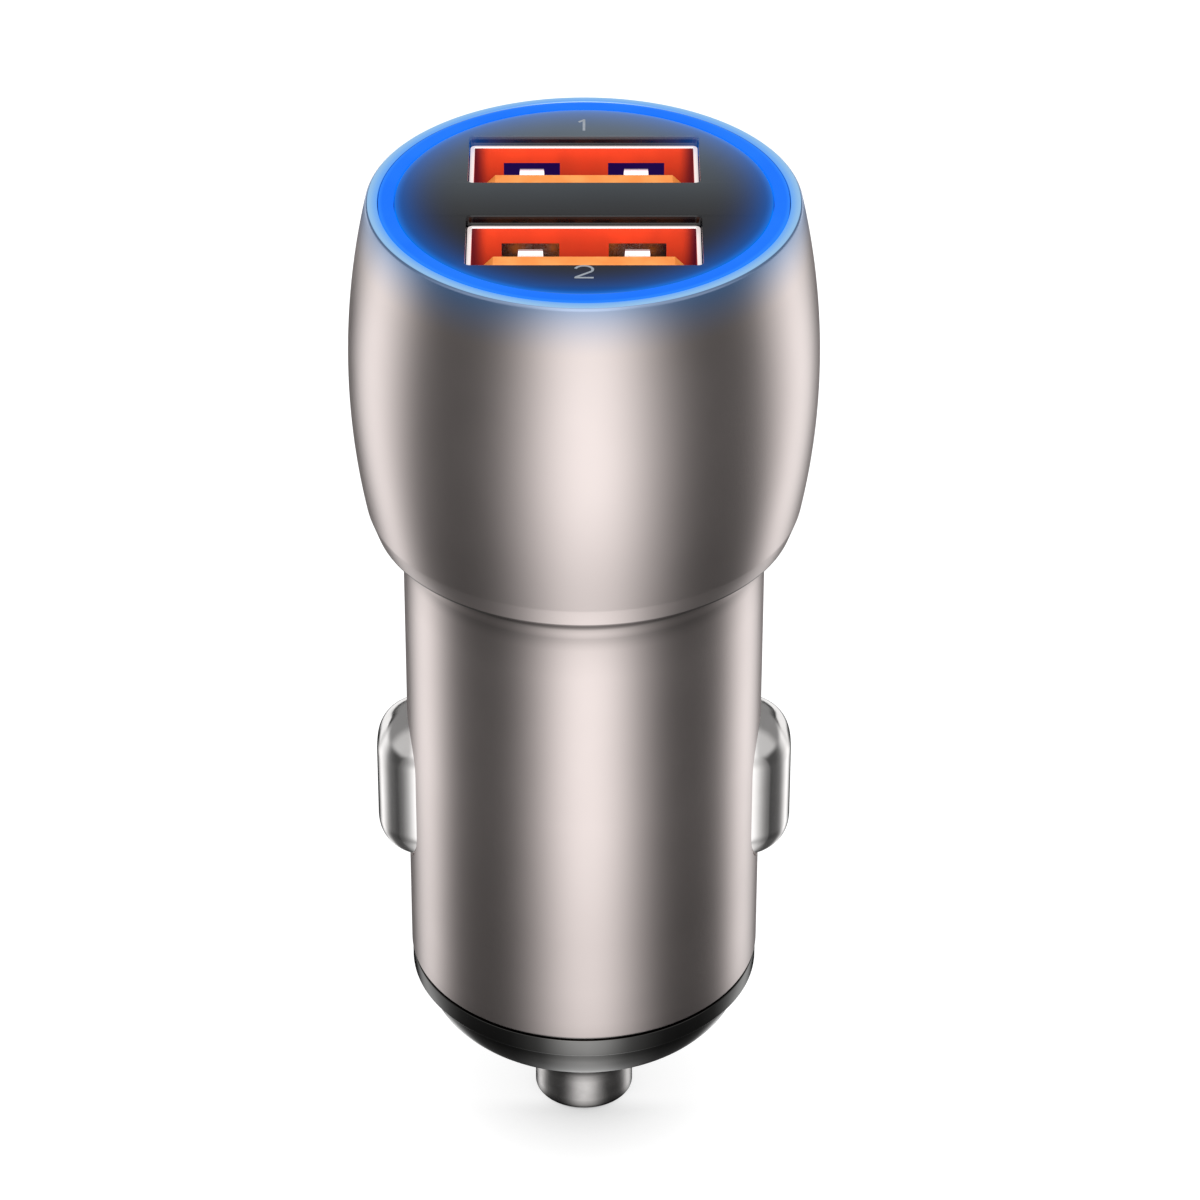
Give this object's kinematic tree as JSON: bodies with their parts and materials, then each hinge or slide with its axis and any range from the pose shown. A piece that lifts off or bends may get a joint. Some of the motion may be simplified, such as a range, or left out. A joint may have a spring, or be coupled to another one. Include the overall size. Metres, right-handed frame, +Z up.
{
  "type": "car usb charger plug",
  "caption": "Upright plug for a car power socket, with a bellied metal head, USB ports under a lit ring, sprung side contacts and a sprung round tip.",
  "frame": {"origin": "middle of the centre contact's flat end, the lowest point of the plug", "axes": "+Z up along the plug's axis, from the tip to the face with the ports; the side contacts lie along X; the front of the picture is -Y"},
  "size_m": [0.0268, 0.0268, 0.0626],
  "materials": {
    "head_metal": "satin pearl nickel with a polished rim",
    "barrel_metal": "satin pearl nickel",
    "face_gloss": "dark gloss",
    "light_guide": "glowing blue, moulded light guide",
    "carrier_plastic": "moulded black",
    "board_laminate": "green solder mask",
    "lamp_body": "clear resin",
    "port_steel": "bright nickel plate",
    "tongue_plastic": "moulded orange",
    "gilt_brass": "thin gilt",
    "ferrite": "pressed ferrite",
    "copper_wire": "enamelled copper wire",
    "sleeved_can": "dark shrink sleeve",
    "bare_can": "bare can",
    "chip_epoxy": "moulded epoxy",
    "tinned_metal": "tinned",
    "fuse_body": "white ceramic",
    "capacitor_body": "tan ceramic",
    "terminal_brass": "bare brass",
    "spring_steel": "drawn wire",
    "tip_metal": "turned and plated",
    "nose_gloss": "dark gunmetal gloss",
    "contact_chrome": "bright chrome plate"
  },
  "bodies": {
    "plug_body": {"head_shell": "head_metal", "barrel_shell": "barrel_metal", "face_plate": "face_gloss", "light_ring": "light_guide", "carrier_front": "carrier_plastic", "carrier_rear": "carrier_plastic", "main_board": "board_laminate", "led_chips": "lamp_body", "usb_shell_front": "port_steel", "usb_shell_rear": "port_steel", "usb_insulator_front": "tongue_plastic", "usb_insulator_rear": "tongue_plastic", "usb_contacts_front": "gilt_brass", "usb_contacts_rear": "gilt_brass", "inductor_core": "ferrite", "inductor_winding": "copper_wire", "input_capacitor": "sleeved_can", "output_capacitor": "bare_can", "converter_chip": "chip_epoxy", "converter_leads": "tinned_metal", "charge_controllers": "chip_epoxy", "input_fuse": "fuse_body", "freewheel_diode": "chip_epoxy", "filter_capacitors": "capacitor_body", "positive_terminal": "terminal_brass", "contact_spring": "spring_steel", "nose_cap": "nose_gloss", "ground_terminal_left": "terminal_brass", "ground_terminal_right": "terminal_brass", "ground_spring_left": "spring_steel", "ground_spring_right": "spring_steel"},
    "tip": {"centre_contact": "tip_metal"},
    "left_contact": {"ground_contact_left": "contact_chrome"},
    "right_contact": {"ground_contact_right": "contact_chrome"}
  },
  "joints": [
    {"name": "tip_press", "type": "slide", "parent": "plug_body", "child": "tip", "axis": [0, 0, 1], "range_m": [0, 0.0025], "stiffness_N_per_m": 1200, "springref_m": -0.0015, "deforming": ["contact_spring"]},
    {"name": "left_contact_press", "type": "slide", "parent": "plug_body", "child": "left_contact", "axis": [1, 0, 0], "range_m": [0, 0.0019], "stiffness_N_per_m": 1500, "springref_m": -0.0012, "deforming": ["ground_spring_left"]},
    {"name": "right_contact_press", "type": "slide", "parent": "plug_body", "child": "right_contact", "axis": [-1, 0, 0], "range_m": [0, 0.0019], "stiffness_N_per_m": 1500, "springref_m": -0.0012, "deforming": ["ground_spring_right"]}
  ]
}
